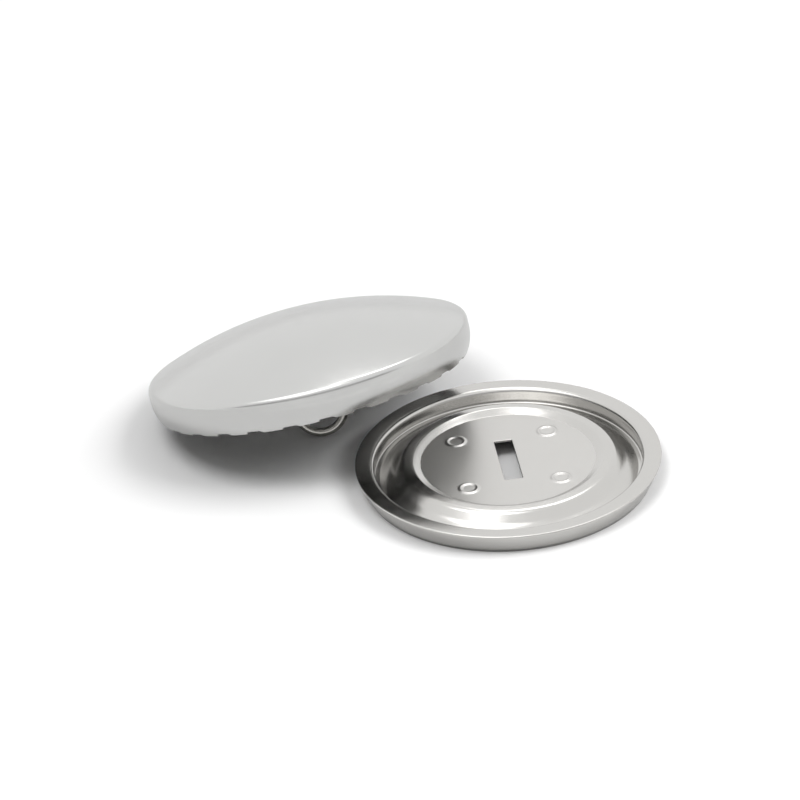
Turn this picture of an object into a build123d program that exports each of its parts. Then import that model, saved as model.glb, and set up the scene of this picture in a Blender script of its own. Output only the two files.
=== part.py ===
from build123d import *
from math import asin, atan2, cos, degrees, hypot, pi, radians, sin, sqrt, tan
import os

# Button blank for covering with fabric, in two halves that lie apart on a table.
# The domed shell stands tilted on its toothed rim and on its wire shank, and the
# stamped back plate lies beside it with its outer face up. All sizes in mm.

# Shell
SHELL_RADIUS = 19.0
MOUTH_TUCK = 0.7
SHELL_SHEET = 0.4
BULGE_HEIGHT = 2.4
WALL_HEIGHT = 3.8
DOME_RISE = 4.25
CORNER_RADIUS = 0.8

# Teeth of the shell's rim
TOOTH_COUNT = 27
TOOTH_WIDTH = 2.2
TOOTH_DEPTH = 0.25
TOOTH_SLANT = 0.45

# Bridge across the inside of the shell, which carries the shank
BRIDGE_WIDTH = 8.0
BRIDGE_SHEET = 0.5
BRIDGE_HEIGHT = 2.75
BRIDGE_CLEARANCE = 0.08

# Wire shank: a loop whose two ends pass through the bridge and lie bent over on it
WIRE_DIAMETER = 1.0
LOOP_WIDTH = 6.6
SHANK_DROP = 9.08
SHANK_LEAN = 6.8
END_LENGTH = 3.2
END_BEND = 0.6
END_CLEARANCE = 0.03
LEG_CLEARANCE = 0.12

# Back plate, whose rim goes into the shell's mouth with fabric between them. Its
# section is measured from the rim inwards: flange, lip, groove, ramp, shoulder, crest,
# band and disc.
FABRIC_ROOM = 0.3
PLATE_SHEET = 0.25
RIM_HEIGHT = 2.6
RIM_ROLL = 0.15
FOOT_TUCK = 1.15
FLANGE_WIDTH = 2.2
LIP_ROLL = 0.55
LIP_OVERHANG = 0.1
GROOVE_HEIGHT = 0.75
GROOVE_FLOOR = 0.63
GROOVE_ROLL = 0.2
RAMP_RISE = 0.8
RAMP_SLOPE = 27.0
RAMP_ROLL = 2.5
SHOULDER_RISE = 0.35
SHOULDER_SLOPE = 44.0
SHOULDER_ROLL = 1.1
CREST_WIDTH = 1.15
CREST_SLOPE = 6.5
CREST_ROLL = 0.4
BAND_SLOPE = 27.0
CREASE_ROLL = 0.15
DISC_HEIGHT = 2.3

# Slot for the shank, and four raised rings round it
SLOT_END_ROOM = 1.05
SLOT_SIDE_ROOM = 0.54
SLOT_CORNER = 0.15
SLOT_ANGLE = 96.0
RING_COUNT = 4
RING_SETBACK = 1.25
RING_DIAMETER = 2.6
RING_BAND = 0.6
RING_RISE = 0.12

# Where the shell's mouth lies, seen from the back plate's middle, and its low side
SHELL_OFFSET_X = -21.73
SHELL_OFFSET_Y = 14.45
LOW_SIDE = 122.5

# Shell section: the inside and the outside are arcs about the same centres
sphere_radius = (SHELL_RADIUS**2 + DOME_RISE**2) / (2 * DOME_RISE)
sphere_z = WALL_HEIGHT + DOME_RISE - sphere_radius
corner_x = SHELL_RADIUS - CORNER_RADIUS
corner_z = sphere_z + sqrt((sphere_radius - CORNER_RADIUS) ** 2 - corner_x**2)
corner_turn = degrees(atan2(corner_z - sphere_z, corner_x))
mouth_radius = SHELL_RADIUS - MOUTH_TUCK
wall_radius = (MOUTH_TUCK**2 + BULGE_HEIGHT**2) / (2 * MOUTH_TUCK)
wall_x = SHELL_RADIUS - wall_radius
apex_z = sphere_z + sphere_radius

# Shank: the loop hangs from the bridge's upper face and leans towards the front
wire_radius = WIRE_DIAMETER / 2
leg_x = LOOP_WIDTH / 2 - wire_radius
bridge_top = BRIDGE_HEIGHT + BRIDGE_SHEET
eye_drop = SHANK_DROP - leg_x
lean = radians(SHANK_LEAN)
low_side = radians(LOW_SIDE)

# Back plate: a wall from the foot that just touches the rim's outermost radius
rim_radius = mouth_radius - SHELL_SHEET - FABRIC_ROOM
foot_radius = rim_radius - FOOT_TUCK
roll_x = FOOT_TUCK - RIM_ROLL
roll_z = RIM_HEIGHT - RIM_ROLL
wall_angle = atan2(roll_z, roll_x) - asin(RIM_ROLL / hypot(roll_x, roll_z))
rim_corner = foot_radius + RIM_HEIGHT / tan(wall_angle)
lip_radius = rim_radius - FLANGE_WIDTH

# Corners of the plate's upper line between the groove and the disc
ramp_foot = lip_radius + LIP_OVERHANG - GROOVE_FLOOR
ramp_top = ramp_foot - RAMP_RISE / tan(radians(RAMP_SLOPE))
ramp_height = GROOVE_HEIGHT + RAMP_RISE
shoulder_height = DISC_HEIGHT + SHOULDER_RISE
shoulder_radius = ramp_top - (shoulder_height - ramp_height) / tan(radians(SHOULDER_SLOPE))
crest_radius = shoulder_radius - CREST_WIDTH
crest_height = shoulder_height + CREST_WIDTH * tan(radians(CREST_SLOPE))
disc_radius = crest_radius - (crest_height - DISC_HEIGHT) / tan(radians(BAND_SLOPE))


def loop_height(tilt):
    """Height of the shank's lowest point over the table when the rim touches it."""
    up_x = -sin(tilt) * cos(low_side)
    up_y = -sin(tilt) * sin(low_side)
    up_z = cos(tilt)
    eye_y = -eye_drop * sin(lean)
    eye_z = bridge_top - eye_drop * cos(lean)
    eye_height = mouth_radius * sin(tilt) + up_y * eye_y + up_z * eye_z
    out_of_plane = up_y * cos(lean) - up_z * sin(lean)
    return eye_height - leg_x * sqrt(1 - out_of_plane**2) - wire_radius


# The tilt at which rim and shank both touch the table, found by halving
too_flat = 0.0
too_steep = pi / 3
for step in range(50):
    tilt = (too_flat + too_steep) / 2
    if loop_height(tilt) < 0:
        too_flat = tilt
    else:
        too_steep = tilt

tilt_hinge = Axis((0, 0, 0), (-sin(low_side), cos(low_side), 0))
shell_up = Vector(0, 0, 1).rotate(tilt_hinge, degrees(tilt))
shell_right = Vector(1, 0, 0).rotate(tilt_hinge, degrees(tilt))


def shell_reach(x, y):
    """How far the tilted shell reaches along a level direction."""
    along = shell_up.X * x + shell_up.Y * y
    outward = sqrt(1 - along**2)
    reach = SHELL_OFFSET_X * x + SHELL_OFFSET_Y * y
    if along < 0:
        reach += wall_x * outward + BULGE_HEIGHT * along + wall_radius
    else:
        reach += corner_x * outward + corner_z * along + CORNER_RADIUS
    return reach


# The origin is on the table, under the middle of the space that both halves take
right = max(rim_radius, shell_reach(1, 0))
left = max(rim_radius, shell_reach(-1, 0))
back = max(rim_radius, shell_reach(0, 1))
front = max(rim_radius, shell_reach(0, -1))
middle = Vector((right - left) / 2, (back - front) / 2)
plate_plane = Plane(origin=-middle)
shell_offset = Vector(SHELL_OFFSET_X, SHELL_OFFSET_Y, mouth_radius * sin(tilt))
shell_plane = Plane(origin=shell_offset - middle, x_dir=shell_right, z_dir=shell_up)


def upright(plane):
    """The plane through an axis, with X outwards and Y along the axis."""
    return Plane(origin=plane.origin, x_dir=plane.x_dir, z_dir=-plane.y_dir)


def shell_line(inset):
    """Half of the shell's section, from the apex to the rim. Returns the rim's radius."""
    rim_turn = asin(BULGE_HEIGHT / (wall_radius - inset))
    wall_line_x = SHELL_RADIUS - inset
    CenterArc((0, sphere_z), sphere_radius - inset, corner_turn, 90 - corner_turn)
    CenterArc((corner_x, corner_z), CORNER_RADIUS - inset, 0, corner_turn)
    Line((wall_line_x, BULGE_HEIGHT), (wall_line_x, corner_z))
    CenterArc((wall_x, BULGE_HEIGHT), wall_radius - inset, -degrees(rim_turn), degrees(rim_turn))
    return wall_x + (wall_radius - inset) * cos(rim_turn)


def under_side(points, rolls, sheet):
    """Inner corners and bend radii of a sheet's lower line, from those of its upper line."""
    corners = []
    radii = []
    for before, corner, after, roll in zip(points, points[1:], points[2:], rolls):
        angle_in = atan2(corner[1] - before[1], corner[0] - before[0])
        angle_out = atan2(after[1] - corner[1], after[0] - corner[0])
        middle_angle = (angle_in + angle_out) / 2
        reach = sheet / cos((angle_out - angle_in) / 2)
        corners.append((corner[0] + reach * sin(middle_angle), corner[1] - reach * cos(middle_angle)))
        radii.append(roll + sheet if angle_out > angle_in else max(roll - sheet, 0))
    return corners, radii


# Shell: one drawn sheet, its wall tucked in below and its rim cut into teeth
gap_angle = 360 / TOOTH_COUNT
gap_width = 2 * pi * mouth_radius / TOOTH_COUNT - TOOTH_WIDTH
gap_start = shell_plane.origin + shell_plane.x_dir * (mouth_radius - 2 * SHELL_SHEET)
gap_plane = Plane(origin=gap_start, x_dir=shell_plane.y_dir, z_dir=shell_plane.x_dir)
shell_axis = Axis(shell_plane.origin, shell_plane.z_dir)

with BuildPart() as tooth_gap:
    with BuildSketch(gap_plane):
        with BuildLine():
            Polyline(
                (gap_width / 2, -TOOTH_DEPTH),
                (-gap_width / 2, -TOOTH_DEPTH),
                (-gap_width / 2, TOOTH_DEPTH),
                (gap_width / 2 - TOOTH_SLANT, TOOTH_DEPTH),
                (gap_width / 2, 0),
                close=True,
            )
        make_face()
    extrude(amount=4 * SHELL_SHEET)

with BuildPart() as shell:
    with BuildSketch(upright(shell_plane)):
        with BuildLine():
            outer_rim = shell_line(0)
            inner_rim = shell_line(SHELL_SHEET)
            Line((0, apex_z - SHELL_SHEET), (0, apex_z))
            Line((inner_rim, 0), (outer_rim, 0))
        make_face()
    revolve(axis=shell_axis)
    gaps = [
        tooth_gap.part.rotate(shell_axis, LOW_SIDE + (i + 0.5) * gap_angle)
        for i in range(TOOTH_COUNT)
    ]
    add(gaps, mode=Mode.SUBTRACT)
shell.part.label = "shell"

# Bridge: a flat strip across the shell's inside, its ends seated against the wall
bridge_reach = SHELL_RADIUS - SHELL_SHEET - BRIDGE_CLEARANCE
with BuildPart() as shank_bridge:
    with BuildSketch(shell_plane.offset(BRIDGE_HEIGHT)):
        Circle(bridge_reach)
        Rectangle(2 * bridge_reach, BRIDGE_WIDTH, mode=Mode.INTERSECT)
        with Locations((-leg_x, 0), (leg_x, 0)):
            Circle(wire_radius + LEG_CLEARANCE, mode=Mode.SUBTRACT)
    extrude(amount=BRIDGE_SHEET)
shank_bridge.part.label = "shank_bridge"

# Shank: wire bent in one plane, with its two ends turned outwards on the bridge
bridge_top_plane = shell_plane.offset(bridge_top)
loop_plane = Plane(
    origin=bridge_top_plane.origin,
    x_dir=shell_plane.x_dir,
    z_dir=shell_plane.z_dir.rotate(Axis((0, 0, 0), shell_plane.x_dir), 90 - SHANK_LEAN),
)
end_y = wire_radius + END_CLEARANCE
end_x = leg_x + END_LENGTH
with BuildPart() as shank_loop:
    with BuildLine(loop_plane):
        FilletPolyline((-end_x, end_y), (-leg_x, end_y), (-leg_x, -eye_drop), radius=END_BEND)
        CenterArc((0, -eye_drop), leg_x, 180, 180)
        FilletPolyline((leg_x, -eye_drop), (leg_x, end_y), (end_x, end_y), radius=END_BEND)
    wire_start = loop_plane.from_local_coords(Vector(-end_x, end_y))
    with BuildSketch(Plane(origin=wire_start, z_dir=loop_plane.x_dir)):
        Circle(wire_radius)
    sweep()
shank_loop.part.label = "shank_loop"

# Back plate: one stamped sheet
plate_line = [
    (0, DISC_HEIGHT),
    (disc_radius, DISC_HEIGHT),
    (crest_radius, crest_height),
    (shoulder_radius, shoulder_height),
    (ramp_top, ramp_height),
    (ramp_foot, GROOVE_HEIGHT),
    (lip_radius + LIP_OVERHANG, GROOVE_HEIGHT),
    (lip_radius, RIM_HEIGHT),
    (rim_corner, RIM_HEIGHT),
    (foot_radius, 0),
]
plate_rolls = [
    CREASE_ROLL,
    CREST_ROLL,
    SHOULDER_ROLL,
    RAMP_ROLL,
    GROOVE_ROLL,
    GROOVE_ROLL,
    LIP_ROLL,
    RIM_ROLL,
]
under_corners, under_rolls = under_side(plate_line, plate_rolls, PLATE_SHEET)
foot_inside = foot_radius - PLATE_SHEET / sin(wall_angle)
under_line = [(0, DISC_HEIGHT - PLATE_SHEET), *under_corners, (foot_inside, 0)]

slot_length = LOOP_WIDTH + 2 * SLOT_END_ROOM
slot_width = WIRE_DIAMETER + 2 * SLOT_SIDE_ROOM
with BuildPart() as back_plate:
    with BuildSketch(upright(plate_plane)):
        with BuildLine():
            FilletPolyline(*plate_line, radius=plate_rolls)
            FilletPolyline(*under_line, radius=under_rolls)
            Line(plate_line[0], under_line[0])
            Line(plate_line[-1], under_line[-1])
        make_face()
    revolve(axis=Axis(plate_plane.origin, plate_plane.z_dir))
    first_ring = SLOT_ANGLE + 180 / RING_COUNT
    ring_circle = disc_radius - RING_SETBACK - RING_DIAMETER / 2
    with BuildSketch(plate_plane.offset(DISC_HEIGHT - PLATE_SHEET / 2)):
        with PolarLocations(ring_circle, RING_COUNT, start_angle=first_ring):
            Circle(RING_DIAMETER / 2)
            Circle(RING_DIAMETER / 2 - RING_BAND, mode=Mode.SUBTRACT)
    extrude(amount=PLATE_SHEET / 2 + RING_RISE)
    with BuildSketch(plate_plane.offset(DISC_HEIGHT - PLATE_SHEET)):
        with PolarLocations(ring_circle, RING_COUNT, start_angle=first_ring):
            Circle(RING_DIAMETER / 2)
            Circle(RING_DIAMETER / 2 - RING_BAND, mode=Mode.SUBTRACT)
    extrude(amount=RING_RISE, mode=Mode.SUBTRACT)
    with BuildSketch(plate_plane.offset(DISC_HEIGHT - 2 * PLATE_SHEET)):
        with Locations(Rotation(0, 0, SLOT_ANGLE)):
            slot = Rectangle(slot_length, slot_width)
        fillet(slot.vertices(), SLOT_CORNER)
    extrude(amount=3 * PLATE_SHEET, mode=Mode.SUBTRACT)
back_plate.part.label = "back_plate"

os.makedirs("parts", exist_ok=True)
export_step(shell.part, "parts/shell.step")
export_step(shank_bridge.part, "parts/shank_bridge.step")
export_step(shank_loop.part, "parts/shank_loop.step")
export_step(back_plate.part, "parts/back_plate.step")
print("tilt", round(degrees(tilt), 3))
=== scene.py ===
import random
from math import asin, atan2, cos, hypot, pi, radians, sin, sqrt, tan

import bpy
from mathutils import Matrix, Vector


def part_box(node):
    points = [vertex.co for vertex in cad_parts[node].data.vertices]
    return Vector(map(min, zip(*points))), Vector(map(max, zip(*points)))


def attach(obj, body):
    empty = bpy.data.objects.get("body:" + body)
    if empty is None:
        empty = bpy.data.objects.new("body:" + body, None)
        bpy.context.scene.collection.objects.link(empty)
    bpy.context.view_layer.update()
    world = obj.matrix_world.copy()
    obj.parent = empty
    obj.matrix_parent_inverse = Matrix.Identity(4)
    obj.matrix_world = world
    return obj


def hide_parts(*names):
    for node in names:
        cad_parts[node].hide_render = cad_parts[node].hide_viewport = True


# Metal blank of a fabric covered button, in two halves that lie apart on a table.
# Lengths are in millimetres, and MM turns them into metres.

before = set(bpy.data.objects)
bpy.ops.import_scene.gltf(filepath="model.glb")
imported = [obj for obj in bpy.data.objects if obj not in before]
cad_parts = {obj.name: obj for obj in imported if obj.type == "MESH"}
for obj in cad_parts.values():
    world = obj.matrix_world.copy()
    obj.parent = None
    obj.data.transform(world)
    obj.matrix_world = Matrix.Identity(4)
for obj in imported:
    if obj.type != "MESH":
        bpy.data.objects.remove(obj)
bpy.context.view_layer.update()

MM = 0.001

# Shell
SHELL_RADIUS = 19.0
MOUTH_RADIUS = 18.3
SHELL_SHEET = 0.4
BULGE_HEIGHT = 2.4
WALL_HEIGHT = 3.8
DOME_RISE = 4.25
CORNER_RADIUS = 0.8
SHELL_OFFSET = (-21.73, 14.45)
SHELL_TILT = 18.263
LOW_SIDE = 122.5

# Teeth of the shell's rim
TOOTH_COUNT = 27
TOOTH_WIDTH = 2.2
TOOTH_DEPTH = 0.25
TOOTH_SLANT = 0.45
TOOTH_STEP = 0.06
TOOTH_SPREAD = 0.25
TOOTH_SHIFT = 0.12
RIM_ROUND = 0.07

# Wire shank
WIRE_DIAMETER = 1.0
LOOP_WIDTH = 6.6
SHANK_DROP = 9.08
SHANK_LEAN = 6.8
BRIDGE_TOP = 3.25
END_LENGTH = 3.2
END_BEND = 0.6
END_CLEARANCE = 0.03

# Back plate, from the rim inwards
RIM_RADIUS = 17.6
RIM_HEIGHT = 2.6
RIM_ROLL = 0.15
FOOT_TUCK = 1.15
PLATE_SHEET = 0.25
FLANGE_WIDTH = 2.2
LIP_ROLL = 0.55
LIP_OVERHANG = 0.1
GROOVE_HEIGHT = 0.75
GROOVE_FLOOR = 0.63
GROOVE_ROLL = 0.2
RAMP_RISE = 0.8
RAMP_SLOPE = 27.0
RAMP_ROLL = 2.5
SHOULDER_RISE = 0.35
SHOULDER_SLOPE = 44.0
SHOULDER_ROLL = 1.1
CREST_WIDTH = 1.15
CREST_SLOPE = 6.5
CREST_ROLL = 0.4
BAND_SLOPE = 27.0
CREASE_ROLL = 0.15
DISC_HEIGHT = 2.3

# Slot for the shank, and the raised rings round it
SLOT_LENGTH = 8.7
SLOT_WIDTH = 2.08
SLOT_CORNER = 0.15
SLOT_ANGLE = 96.0
SLOT_ROUND = 0.08
RING_COUNT = 4
RING_CIRCLE = 7.52
RING_RADIUS = 1.0
RING_BAND = 0.62
RING_RISE = 0.12

# Fineness of the meshes. Round the slot, the plate's rings turn from its outline to a circle.
RUN_LENGTH = 0.6
EDGE_STEPS = 3
DOME_STEPS = 30
CORNER_STEPS = 10
TUCK_SHARES = (0.85, 0.7, 0.55, 0.4, 0.28, 0.18, 0.1, 0.05)
NOTCH_STEPS = 5
TIP_STEPS = 7
WIRE_SIDES = 28
BEND_STEPS = 8
BOW_STEPS = 36
CAP_SHARE = 0.82
PLATE_COLUMNS = 400
SLOT_WALL_SHARE = 0.6
RELIEF_STEPS = 30
RELIEF_MARGIN = 0.1
UNDER_STEPS = 14
FOOT_MARGIN = 0.05
TURN_SHARES = (0.06, 0.15, 0.3, 0.5, 0.75)
TURN_WIDTH = 1.2
TURN_RADIUS = 5.5
FIRST_CIRCLE = 5.6

# Metal: how rough it is and by how much that varies, and the waves of its noise in a metre
NOISE_SPAN = (0.3, 0.7)
DISC_ROUGHER = 0.11
DISC_EDGE = 0.2
ROUGHNESS_SPREAD = 0.03
CLOUD_SHADE = 0.97
CLOUD_WAVES = 260
SATIN_WAVES = 900
GRAIN_WAVES = 4000
GRAIN_HEIGHT = 0.001
DENT_WAVES = 400
DENT_HEIGHT = 0.02

# Table
TABLE_REACH = 500.0
TABLE_GAP = 0.01
TABLE_COLOUR = (1.0, 1.0, 1.0, 1)
TABLE_LIT_COLOUR = (0.7, 0.7, 0.7, 1)
TABLE_MIRRORED = 0.33

# Room, by the direction's parts along the axes: a dark stretch in front, between two heights
ROOM_LIGHT = 0.1
ROOM_TONE = 0.45
ROOM_FRONT = (-0.25, -0.6)
ROOM_BOTTOM = (0.08, 0.25)
ROOM_TOP = (0.45, 0.65)
GROOVE_TONE = 0.15
GROOVE_BOUNCES = (1.0, 4.0)

# Camera, as the photograph was taken
CAMERA_TARGET = (-0.238, 10.914, 0.0)
CAMERA_DISTANCE = 900.0
CAMERA_ELEVATION = 30.35
CAMERA_ROLL = 3.65
CAMERA_LENS = 346.3
CAMERA_SENSOR = 36
CAMERA_NEAR = 50
CAMERA_FAR = 20000


# Helpers for sections
def between(start, end, steps):
    """Even steps from a start value to an end value, without the start."""
    return [start + (end - start) * i / steps for i in range(1, steps + 1)]


def arc_points(centre, radius, start, turn, steps):
    """Points on an arc, from a start angle through a turn, both in radians."""
    angles = [start] + between(start, start + turn, steps)
    return [(centre[0] + radius * cos(a), centre[1] + radius * sin(a)) for a in angles]


def straight(start, end):
    """Points with their normals along a straight run, without its two ends."""
    run = end - start
    if run.length < 1e-9:
        return []
    normal = Vector((-run.y, run.x)).normalized()
    count = max(1, round(run.length / RUN_LENGTH))
    return [(start + run * i / count, normal) for i in range(1, count)]


def rounded_line(start, corners, end):
    """A bent line with arcs at its corners, as points with their normals, without its two ends.

    Each corner is its place, the radius of its arc and the number of steps in it.
    """
    line = []
    points = [Vector(start)] + [Vector((x, y)) for x, y, _, _ in corners] + [Vector(end)]
    previous = points[0]
    for i, (_, _, roll, steps) in enumerate(corners):
        before, corner, after = points[i:i + 3]
        come = (corner - before).normalized()
        go = (after - corner).normalized()
        turn = come.angle_signed(go)
        reach = roll * tan(abs(turn) / 2)
        bend = corner - come * reach
        line += straight(previous, bend)
        side = 1 if turn < 0 else -1
        centre = bend + side * roll * Vector((-come.y, come.x))
        first = atan2(bend.y - centre.y, bend.x - centre.x)
        for a in [first] + between(first, first - turn, steps):
            spoke = Vector((cos(a), sin(a)))
            line.append((centre + roll * spoke, -side * spoke))
        previous = corner + go * reach
    return line + straight(previous, points[-1])


# Helpers for meshes
def mesh_from_loops(name, loops, close_profile, poles=(None, None)):
    """A skin over rings of equal length. Poles close its first or last ring with one point."""
    verts = [v for loop in loops for v in loop]
    count = len(loops[0])
    faces = []
    bands = len(loops) if close_profile else len(loops) - 1
    for j in range(bands):
        here = j * count
        there = ((j + 1) % len(loops)) * count
        for i in range(count):
            k = (i + 1) % count
            faces.append((here + i, there + i, there + k, here + k))
    first, last = poles
    if first is not None:
        pole = len(verts)
        verts.append(first)
        faces += [(pole, i, (i + 1) % count) for i in range(count)]
    if last is not None:
        pole = len(verts)
        verts.append(last)
        base = (len(loops) - 1) * count
        faces += [(pole, base + (i + 1) % count, base + i) for i in range(count)]
    mesh = bpy.data.meshes.new(name)
    mesh.from_pydata([Vector(v) * MM for v in verts], [], faces)
    mesh.validate()
    mesh.shade_smooth()
    piece = bpy.data.objects.new(name, mesh)
    bpy.context.scene.collection.objects.link(piece)
    return piece


def finish_piece(piece, material, node):
    """Gives a piece its material, hides the CAD node that it stands for, and hangs it under the root body.
    """
    piece.data.materials.append(material)
    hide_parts(node)
    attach(piece, "root")


# Helpers for nodes
def empty_tree(owner, output_type):
    """Clears the nodes of a material or the world. Returns its tree and a new output's socket."""
    owner.use_nodes = True
    tree = owner.node_tree
    tree.nodes.clear()
    return tree, tree.nodes.new(output_type).inputs["Surface"]


def combine(tree, operation, a, b):
    """A calculation with a value and either another value or a number."""
    node = tree.nodes.new("ShaderNodeMath")
    node.operation = operation
    tree.links.new(a, node.inputs[0])
    if isinstance(b, float):
        node.inputs[1].default_value = b
    else:
        tree.links.new(b, node.inputs[1])
    return node.outputs["Value"]


def map_range(tree, value, span, low, high, curve="LINEAR"):
    """Maps a value from a span to low..high, and holds it at both ends."""
    node = tree.nodes.new("ShaderNodeMapRange")
    node.interpolation_type = curve
    node.inputs["From Min"].default_value = span[0]
    node.inputs["From Max"].default_value = span[1]
    node.inputs["To Min"].default_value = low
    node.inputs["To Max"].default_value = high
    tree.links.new(value, node.inputs["Value"])
    return node.outputs["Result"]


def noise(tree, waves, detail):
    """A noise texture in object space. Its middle values are the common ones."""
    place = tree.nodes.new("ShaderNodeTexCoord")
    texture = tree.nodes.new("ShaderNodeTexNoise")
    texture.inputs["Scale"].default_value = waves
    texture.inputs["Detail"].default_value = detail
    tree.links.new(place.outputs["Object"], texture.inputs["Vector"])
    return texture.outputs["Fac"]


def bump(tree, height, strength, distance):
    """A bump of the surface by a height texture, at most the distance high."""
    node = tree.nodes.new("ShaderNodeBump")
    node.inputs["Strength"].default_value = strength
    node.inputs["Distance"].default_value = distance * MM
    tree.links.new(height, node.inputs["Height"])
    return node


def inside_disc(tree, centre, radius, edge):
    """1 within a radius of an upright axis, 0 outside it, with a soft edge. In metres."""
    place = tree.nodes.new("ShaderNodeTexCoord")
    flat = tree.nodes.new("ShaderNodeVectorMath")
    flat.operation = "MULTIPLY"
    flat.inputs[1].default_value = (1, 1, 0)
    away = tree.nodes.new("ShaderNodeVectorMath")
    away.operation = "DISTANCE"
    away.inputs[1].default_value = centre
    tree.links.new(place.outputs["Object"], flat.inputs[0])
    tree.links.new(flat.outputs["Vector"], away.inputs[0])
    return map_range(tree, away.outputs["Value"], (radius - edge, radius + edge), 1.0, 0.0)


def seen_rays(tree, share):
    """1 for rays that show the background, a share of it in a reflection, and 0 for light."""
    path = tree.nodes.new("ShaderNodeLightPath")
    mirrored = combine(tree, "MAXIMUM", path.outputs["Is Glossy Ray"], path.outputs["Is Transmission Ray"])
    mirrored = combine(tree, "MULTIPLY", mirrored, share)
    shown = combine(tree, "MAXIMUM", path.outputs["Is Camera Ray"], mirrored)
    before_diffuse = combine(tree, "LESS_THAN", path.outputs["Diffuse Depth"], 0.5)
    return combine(tree, "MULTIPLY", shown, before_diffuse)


def seen_or_lit(tree, output, share, seen, lit):
    """Joins the shader that the background is seen with to the one that lights the object."""
    mix = tree.nodes.new("ShaderNodeMixShader")
    tree.links.new(seen_rays(tree, share), mix.inputs["Fac"])
    tree.links.new(lit.outputs[0], mix.inputs[1])
    tree.links.new(seen.outputs[0], mix.inputs[2])
    tree.links.new(mix.outputs[0], output)


# Metals
def plated_metal(name, colour, roughness, grain, dent):
    """Nickel plating: a fine satin grain, cloudy roughness, and faint long waves."""
    material = bpy.data.materials.new(name)
    tree, output = empty_tree(material, "ShaderNodeOutputMaterial")
    shader = tree.nodes.new("ShaderNodeBsdfPrincipled")
    shader.inputs["Metallic"].default_value = 1.0
    tree.links.new(shader.outputs["BSDF"], output)
    mix = tree.nodes.new("ShaderNodeMix")
    mix.data_type = "RGBA"
    mix.inputs["A"].default_value = (*[c * CLOUD_SHADE for c in colour], 1)
    mix.inputs["B"].default_value = (*colour, 1)
    tree.links.new(noise(tree, CLOUD_WAVES, 3), mix.inputs["Factor"])
    tree.links.new(mix.outputs["Result"], shader.inputs["Base Color"])
    low = roughness - ROUGHNESS_SPREAD
    high = roughness + ROUGHNESS_SPREAD
    satin = map_range(tree, noise(tree, SATIN_WAVES, 4), NOISE_SPAN, low, high)
    tree.links.new(satin, shader.inputs["Roughness"])
    fine = bump(tree, noise(tree, GRAIN_WAVES, 2), grain, GRAIN_HEIGHT)
    broad = bump(tree, noise(tree, DENT_WAVES, 1), dent, DENT_HEIGHT)
    tree.links.new(fine.outputs["Normal"], broad.inputs["Normal"])
    tree.links.new(broad.outputs["Normal"], shader.inputs["Normal"])
    return material


def matte_disc(material, centre, radius):
    """Makes the plate's flat disc rougher than its drawn rim. In metres."""
    tree = material.node_tree
    shader = next(n for n in tree.nodes if n.type == "BSDF_PRINCIPLED")
    satin = shader.inputs["Roughness"].links[0].from_socket
    disc = inside_disc(tree, centre, radius, DISC_EDGE * MM)
    rougher = combine(tree, "ADD", combine(tree, "MULTIPLY", disc, DISC_ROUGHER), satin)
    tree.links.new(rougher, shader.inputs["Roughness"])


SHELL_METAL = plated_metal("satin_nickel", (0.63, 0.63, 0.62), roughness=0.24, grain=0.1, dent=0.02)
PLATE_METAL = plated_metal("stamped_nickel", (0.63, 0.62, 0.6), roughness=0.21, grain=0.1, dent=0.05)
WIRE_METAL = plated_metal("drawn_wire", (0.6, 0.585, 0.55), roughness=0.24, grain=0.2, dent=0.05)

# Places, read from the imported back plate
plate_low, plate_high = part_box("back_plate")
plate_centre = (plate_low + plate_high) / (2 * MM)
plate_centre.z = 0

tilt = radians(SHELL_TILT)
low_side = radians(LOW_SIDE)
hinge = Vector((-sin(low_side), cos(low_side), 0))
shell_turn = Matrix.Rotation(tilt, 3, hinge)
shell_origin = plate_centre + Vector((*SHELL_OFFSET, MOUTH_RADIUS * sin(tilt)))


def shell_point(x, y, z):
    """A point of the tilted shell, from one in the shell's own frame."""
    return shell_origin + shell_turn @ Vector((x, y, z))


# Shell section: arcs about the same centres for the outside and the inside
sphere_radius = (SHELL_RADIUS**2 + DOME_RISE**2) / (2 * DOME_RISE)
sphere_z = WALL_HEIGHT + DOME_RISE - sphere_radius
corner_x = SHELL_RADIUS - CORNER_RADIUS
corner_z = sphere_z + sqrt((sphere_radius - CORNER_RADIUS) ** 2 - corner_x**2)
corner_turn = atan2(corner_z - sphere_z, corner_x)
tuck = SHELL_RADIUS - MOUTH_RADIUS
wall_radius = (tuck**2 + BULGE_HEIGHT**2) / (2 * tuck)
wall_x = SHELL_RADIUS - wall_radius


def shell_section(inset):
    """Half of the shell's section from beside the apex down to the bulge."""
    to_corner = corner_turn - pi / 2
    dome = arc_points((0, sphere_z), sphere_radius - inset, pi / 2, to_corner, DOME_STEPS)[1:]
    centre = (corner_x, corner_z)
    corner = arc_points(centre, CORNER_RADIUS - inset, corner_turn, -corner_turn, CORNER_STEPS)[1:]
    wall = [(SHELL_RADIUS - inset, z) for z in between(corner_z, BULGE_HEIGHT, EDGE_STEPS)]
    return dome + corner + wall


def tucked_wall(inset, height):
    """Radius of the tucked-in wall at a height below the bulge."""
    return wall_x + sqrt((wall_radius - inset) ** 2 - (BULGE_HEIGHT - height) ** 2)


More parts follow.
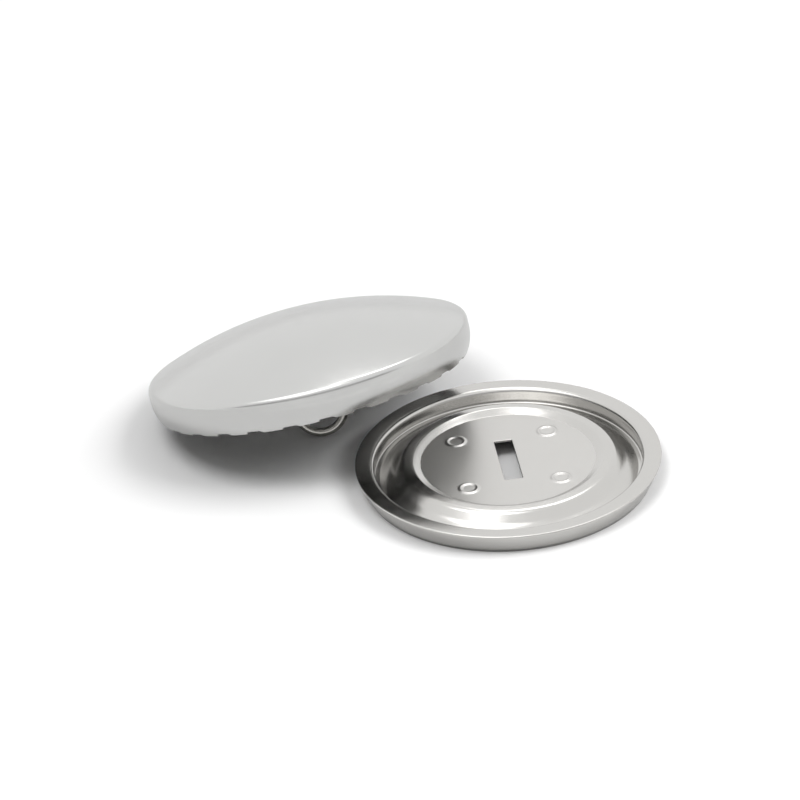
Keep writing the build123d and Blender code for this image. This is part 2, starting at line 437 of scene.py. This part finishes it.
def tooth_columns():
    """Angles round the rim, each with how far the rim is cut back there."""
    spread = random.Random(4)
    pitch = 2 * pi * MOUTH_RADIUS / TOOTH_COUNT
    gap = pitch - TOOTH_WIDTH
    columns = []
    for tooth in range(TOOTH_COUNT):
        depth = TOOTH_DEPTH * (1 + TOOTH_SPREAD * spread.uniform(-1, 1))
        shift = TOOTH_SHIFT * spread.uniform(-1, 1)
        start = shift - gap / 2
        end = shift + gap / 2
        next_start = pitch - gap / 2 - TOOTH_SHIFT
        notch_start = start + TOOTH_STEP
        notch_end = end - TOOTH_SLANT
        marks = [(start, 0), (notch_start, depth)]
        marks += [(s, depth) for s in between(notch_start, notch_end, NOTCH_STEPS)]
        marks += zip(between(notch_end, end, EDGE_STEPS), between(depth, 0, EDGE_STEPS))
        marks += [(s, 0) for s in between(end, next_start, TIP_STEPS)[:-1]]
        middle = low_side + 2 * pi * (tooth + 0.5) / TOOTH_COUNT
        columns += [(middle + s / MOUTH_RADIUS, cut) for s, cut in marks]
    return columns


def build_shell():
    """Domed shell with its toothed rim."""
    columns = tooth_columns()
    quarter = [0] + between(0, pi / 2, EDGE_STEPS)

    def ring(radius, height):
        return [shell_point(radius * cos(a), radius * sin(a), height) for a, _ in columns]

    def cut_ring(inset, share, lift=0.0):
        points = []
        for a, cut in columns:
            low = cut + lift
            height = low + (BULGE_HEIGHT - low) * share
            radius = tucked_wall(inset, height)
            points.append(shell_point(radius * cos(a), radius * sin(a), height))
        return points

    def face(inset, way):
        """Rings of one side of the sheet, from beside the apex to the round of the rim."""
        rings = [ring(radius, height) for radius, height in shell_section(inset)]
        rings += [cut_ring(inset, share) for share in TUCK_SHARES]
        for a in quarter:
            rings.append(cut_ring(inset + way * RIM_ROUND * (1 - cos(a)), 0, RIM_ROUND * (1 - sin(a))))
        return rings

    top = sphere_z + sphere_radius
    poles = (shell_point(0, 0, top), shell_point(0, 0, top - SHELL_SHEET))
    loops = face(0, 1) + face(SHELL_SHEET, -1)[::-1]
    shell = mesh_from_loops("domed_shell", loops, False, poles)
    finish_piece(shell, SHELL_METAL, "shell")


# Wire shank
wire_radius = WIRE_DIAMETER / 2
leg_x = LOOP_WIDTH / 2 - wire_radius
eye_drop = SHANK_DROP - leg_x
lean = radians(SHANK_LEAN)
wire_up = Vector((0, sin(lean), cos(lean)))
wire_base = Vector((0, 0, BRIDGE_TOP))


def shank_path():
    """Centre line of the wire in its own plane, from one bent end to the other."""
    end_y = wire_radius + END_CLEARANCE
    end = Vector((leg_x + END_LENGTH, end_y))
    bend = (leg_x, end_y, END_BEND, BEND_STEPS)
    side = [end] + [p for p, _ in rounded_line(end, [bend], (leg_x, -eye_drop))]
    bow = [Vector(p) for p in arc_points((0, -eye_drop), leg_x, 0, -pi, BOW_STEPS)]
    other = [Vector((-p.x, p.y)) for p in side[::-1]]
    return side + bow + other


def in_wire_plane(x, y):
    """A direction in the wire's plane, turned to the shell's own frame."""
    return Vector((x, 0, 0)) + wire_up * y


def end_cap(loop):
    """A smaller ring on a cut end of the wire, and the middle of that end."""
    middle = sum(loop, Vector((0, 0, 0))) / len(loop)
    return [middle + (p - middle) * CAP_SHARE for p in loop], middle


def build_shank():
    """Bent wire with round section and cut ends."""
    path = shank_path()
    normal = Vector((1, 0, 0)).cross(wire_up)
    loops = []
    for i, point in enumerate(path):
        along = path[min(i + 1, len(path) - 1)] - path[max(i - 1, 0)]
        across = in_wire_plane(-along.y, along.x).normalized()
        centre = wire_base + in_wire_plane(*point)
        loop = []
        for k in range(WIRE_SIDES):
            a = 2 * pi * k / WIRE_SIDES
            loop.append(shell_point(*(centre + wire_radius * (cos(a) * across + sin(a) * normal))))
        loops.append(loop)
    first_ring, first_pole = end_cap(loops[0])
    last_ring, last_pole = end_cap(loops[-1])
    loops = [first_ring] + loops + [last_ring]
    shank = mesh_from_loops("wire_shank", loops, False, (first_pole, last_pole))
    finish_piece(shank, WIRE_METAL, "shank_loop")


# Back plate
foot_radius = RIM_RADIUS - FOOT_TUCK
roll_x = RIM_RADIUS - RIM_ROLL - foot_radius
roll_z = RIM_HEIGHT - RIM_ROLL
wall_angle = atan2(roll_z, roll_x) - asin(RIM_ROLL / hypot(roll_x, roll_z))
rim_corner = foot_radius + RIM_HEIGHT / tan(wall_angle)
lip_radius = RIM_RADIUS - FLANGE_WIDTH
ramp_foot = lip_radius + LIP_OVERHANG - GROOVE_FLOOR
ramp_top = ramp_foot - RAMP_RISE / tan(radians(RAMP_SLOPE))
ramp_height = GROOVE_HEIGHT + RAMP_RISE
shoulder_height = DISC_HEIGHT + SHOULDER_RISE
shoulder_radius = ramp_top - (shoulder_height - ramp_height) / tan(radians(SHOULDER_SLOPE))
crest_radius = shoulder_radius - CREST_WIDTH
crest_height = shoulder_height + CREST_WIDTH * tan(radians(CREST_SLOPE))
disc_radius = crest_radius - (crest_height - DISC_HEIGHT) / tan(radians(BAND_SLOPE))
slot_turn = Matrix.Rotation(radians(SLOT_ANGLE), 3, "Z")


def plate_point(x, y, z):
    """A point of the plate, from one in a frame whose first axis lies along the slot."""
    return plate_centre + slot_turn @ Vector((x, y, z))


def plate_section():
    """Upper side of the plate from the disc to the foot, as points with their normals."""
    corners = [
        (disc_radius, DISC_HEIGHT, CREASE_ROLL, 4),
        (crest_radius, crest_height, CREST_ROLL, 6),
        (shoulder_radius, shoulder_height, SHOULDER_ROLL, 12),
        (ramp_top, ramp_height, RAMP_ROLL, 10),
        (ramp_foot, GROOVE_HEIGHT, GROOVE_ROLL, 6),
        (lip_radius + LIP_OVERHANG, GROOVE_HEIGHT, GROOVE_ROLL, 8),
        (lip_radius, RIM_HEIGHT, LIP_ROLL, 12),
        (rim_corner, RIM_HEIGHT, RIM_ROLL, 8),
    ]
    foot = (foot_radius, 0)
    line = rounded_line((0, DISC_HEIGHT), corners, foot)
    return line + [(Vector(foot), line[-1][1])]


def slot_outline(grow):
    """Rounded rectangle round the slot, grown outwards, as points in step with the rings.

    It starts in the middle of one short side, and each quarter is a side and a corner.
    """
    reach_x = SLOT_LENGTH / 2 - SLOT_CORNER
    reach_y = SLOT_WIDTH / 2 - SLOT_CORNER
    corner = SLOT_CORNER + grow
    bend = corner * pi / 2
    total = 4 * (reach_x + reach_y + bend)
    quarters = [
        (2 * reach_y, reach_x, reach_y),
        (2 * reach_x, -reach_x, reach_y),
        (2 * reach_y, -reach_x, -reach_y),
        (2 * reach_x, reach_x, -reach_y),
    ]
    points = []
    for i in range(PLATE_COLUMNS):
        walked = (reach_y + total * i / PLATE_COLUMNS) % total
        for quarter, (side, x, y) in enumerate(quarters):
            if walked <= side + bend:
                break
            walked -= side + bend
        facing = quarter * pi / 2
        short = max(side - walked, 0)
        a = facing + max(walked - side, 0) / corner
        x += short * sin(facing) + corner * cos(a)
        y += -short * cos(facing) + corner * sin(a)
        points.append((x, y))
    return points


def ring_relief(x, y):
    """Height of the raised rings above the disc, with soft flanks."""
    height = 0.0
    for i in range(RING_COUNT):
        a = (2 * i + 1) * pi / RING_COUNT
        away = hypot(x - RING_CIRCLE * cos(a), y - RING_CIRCLE * sin(a))
        share = abs(away - RING_RADIUS) / (RING_BAND / 2)
        if share < 1:
            height = max(height, RING_RISE * 0.5 * (1 + cos(pi * share)))
    return height


def build_plate():
    """Stamped back plate: one sheet, from the slot's edge over the rim to the foot and back."""

    def slot_ring(grow, height, roundness=0.0):
        points = []
        for i, (x, y) in enumerate(slot_outline(grow)):
            a = 2 * pi * i / PLATE_COLUMNS
            x += (TURN_RADIUS * cos(a) - x) * roundness
            y += (TURN_RADIUS * sin(a) - y) * roundness
            points.append(plate_point(x, y, height))
        return points

    def ring(radius, height, relief=False):
        points = []
        for i in range(PLATE_COLUMNS):
            a = 2 * pi * i / PLATE_COLUMNS
            x = radius * cos(a)
            y = radius * sin(a)
            rise = ring_relief(x, y) if relief else 0
            points.append(plate_point(x, y, height + rise))
        return points

    rings_low = RING_CIRCLE - RING_RADIUS - RING_BAND / 2
    rings_high = RING_CIRCLE + RING_RADIUS + RING_BAND / 2
    section = [(p, n) for p, n in plate_section() if p.x > rings_high + RELIEF_MARGIN]
    under = DISC_HEIGHT - PLATE_SHEET

    # Upper side, from the slot's wall outwards
    loops = [slot_ring(0, DISC_HEIGHT - PLATE_SHEET * SLOT_WALL_SHARE)]
    for a in [0] + between(0, pi / 2, EDGE_STEPS):
        loops.append(slot_ring(SLOT_ROUND * (1 - cos(a)), DISC_HEIGHT - SLOT_ROUND * (1 - sin(a))))
    for share in TURN_SHARES:
        loops.append(slot_ring(SLOT_ROUND + TURN_WIDTH * share, DISC_HEIGHT, share * share))
    for radius in (FIRST_CIRCLE, (FIRST_CIRCLE + rings_low) / 2):
        loops.append(ring(radius, DISC_HEIGHT))
    for radius in [rings_low] + between(rings_low, rings_high, RELIEF_STEPS):
        loops.append(ring(radius, DISC_HEIGHT, relief=True))
    loops += [ring(p.x, p.y) for p, _ in section]

    # Under side, from the foot inwards: the same section, one sheet's thickness inside it
    loops.append(ring(foot_radius - PLATE_SHEET / sin(wall_angle), 0.0))
    lower = [p - n * PLATE_SHEET for p, n in section[:-1]]
    loops += [ring(p.x, p.y) for p in lower[::-1] if p.y > FOOT_MARGIN]
    for radius in [rings_high] + between(rings_high, rings_low, UNDER_STEPS):
        loops.append(ring(radius, under, relief=True))
    loops.append(ring(FIRST_CIRCLE, under))
    for share in (*TURN_SHARES[::-1], 0):
        loops.append(slot_ring(SLOT_ROUND / 2 + TURN_WIDTH * share, under, share * share))
    loops.append(slot_ring(0, under + SLOT_ROUND / 2))
    plate = mesh_from_loops("stamped_back_plate", loops, True)
    finish_piece(plate, PLATE_METAL, "back_plate")


matte_disc(PLATE_METAL, plate_centre * MM, disc_radius * MM)
build_shell()
build_shank()
build_plate()

# The bridge inside the shell shows as the CAD piece, in the shell's metal
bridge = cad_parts["shank_bridge"]
bridge.data.materials.clear()
bridge.data.materials.append(SHELL_METAL)


# Surroundings
def build_table():
    """White table that keeps the shadow. In the metal, and as a light on it, it is darker."""
    reach = TABLE_REACH * MM
    z = -TABLE_GAP * MM
    corners = [(-reach, -reach, z), (reach, -reach, z), (reach, reach, z), (-reach, reach, z)]
    mesh = bpy.data.meshes.new("floor")
    mesh.from_pydata(corners, [], [(0, 1, 2, 3)])
    floor = bpy.data.objects.new("floor", mesh)
    bpy.context.scene.collection.objects.link(floor)
    material = bpy.data.materials.new("white_table")
    tree, output = empty_tree(material, "ShaderNodeOutputMaterial")
    seen = tree.nodes.new("ShaderNodeBsdfDiffuse")
    seen.inputs["Color"].default_value = TABLE_COLOUR
    lit = tree.nodes.new("ShaderNodeBsdfDiffuse")
    lit.inputs["Color"].default_value = TABLE_LIT_COLOUR
    seen_or_lit(tree, output, TABLE_MIRRORED, seen, lit)
    mesh.materials.append(material)


def build_room():
    """World: white to the eye, dim as a light, and white in the metal but for two things.

    One is a dark stretch of room in front, the other what a groove has reflected many times.
    """
    world = bpy.data.worlds.new("studio")
    bpy.context.scene.world = world
    tree, output = empty_tree(world, "ShaderNodeOutputWorld")
    path = tree.nodes.new("ShaderNodeLightPath")
    place = tree.nodes.new("ShaderNodeTexCoord")
    axes = tree.nodes.new("ShaderNodeSeparateXYZ")
    tree.links.new(place.outputs["Generated"], axes.inputs["Vector"])
    depth = axes.outputs["Y"]
    height = axes.outputs["Z"]

    dark = map_range(tree, depth, ROOM_FRONT, 0.0, 1.0, "SMOOTHSTEP")
    from_below = map_range(tree, height, ROOM_BOTTOM, 0.0, 1.0, "SMOOTHSTEP")
    to_above = map_range(tree, height, ROOM_TOP, 1.0, 0.0, "SMOOTHSTEP")
    dark = combine(tree, "MULTIPLY", dark, combine(tree, "MULTIPLY", from_below, to_above))
    room = map_range(tree, dark, (0.0, 1.0), 1.0, ROOM_TONE, "SMOOTHSTEP")
    groove = map_range(tree, path.outputs["Glossy Depth"], GROOVE_BOUNCES, 1.0, GROOVE_TONE, "SMOOTHSTEP")
    tone = tree.nodes.new("ShaderNodeMix")
    tone.inputs["B"].default_value = 1.0
    tree.links.new(combine(tree, "MULTIPLY", room, groove), tone.inputs["A"])
    tree.links.new(path.outputs["Is Camera Ray"], tone.inputs["Factor"])

    shown = tree.nodes.new("ShaderNodeBackground")
    tree.links.new(tone.outputs["Result"], shown.inputs["Strength"])
    light = tree.nodes.new("ShaderNodeBackground")
    light.inputs["Strength"].default_value = ROOM_LIGHT
    for node in (shown, light):
        node.inputs["Color"].default_value = (1, 1, 1, 1)
    seen_or_lit(tree, output, 1.0, shown, light)


def softbox(name, place, size, power, mirrored):
    """Area lamp that faces the origin. It shows in the metal or lights the table, not both."""
    lamp = bpy.data.lights.new(name, "AREA")
    lamp.shape = "RECTANGLE"
    lamp.size = size[0] * MM
    lamp.size_y = size[1] * MM
    lamp.energy = power
    box = bpy.data.objects.new(name, lamp)
    box.location = Vector(place) * MM
    box.rotation_euler = (-Vector(place)).to_track_quat("-Z", "Y").to_euler()
    box.visible_glossy = mirrored
    box.visible_diffuse = not mirrored
    bpy.context.scene.collection.objects.link(box)


def build_camera():
    """Camera with a long lens, turned about its line of sight by the photograph's roll."""
    elevation = radians(CAMERA_ELEVATION)
    roll = radians(CAMERA_ROLL)
    level = Vector((1, 0, 0))
    rise = Vector((0, sin(elevation), cos(elevation)))
    right = level * cos(roll) - rise * sin(roll)
    up = level * sin(roll) + rise * cos(roll)
    backward = right.cross(up)
    camera = bpy.data.objects.new("camera", bpy.data.cameras.new("camera"))
    bpy.context.scene.collection.objects.link(camera)
    place = (Vector(CAMERA_TARGET) + backward * CAMERA_DISTANCE) * MM
    turn = Matrix((right, up, backward)).transposed().to_4x4()
    camera.matrix_world = Matrix.Translation(place) @ turn
    camera.data.sensor_width = CAMERA_SENSOR
    camera.data.lens = CAMERA_LENS
    camera.data.clip_start = CAMERA_NEAR * MM
    camera.data.clip_end = CAMERA_FAR * MM
    bpy.context.scene.camera = camera


build_table()
build_room()
softbox("key", (-532, -656, 1813), (800, 800), power=12.5, mirrored=False)
softbox("fill", (1150, -250, 1350), (1100, 1100), power=18.0, mirrored=False)
softbox("sky", (0, -250, 1400), (2400, 2400), power=12.5, mirrored=False)
softbox("back", (300, 950, 1750), (1100, 560), power=4.4, mirrored=True)
softbox("top", (-480, -300, 1920), (1300, 1300), power=8.5, mirrored=True)
build_camera()
bpy.context.scene.view_settings.view_transform = "Standard"
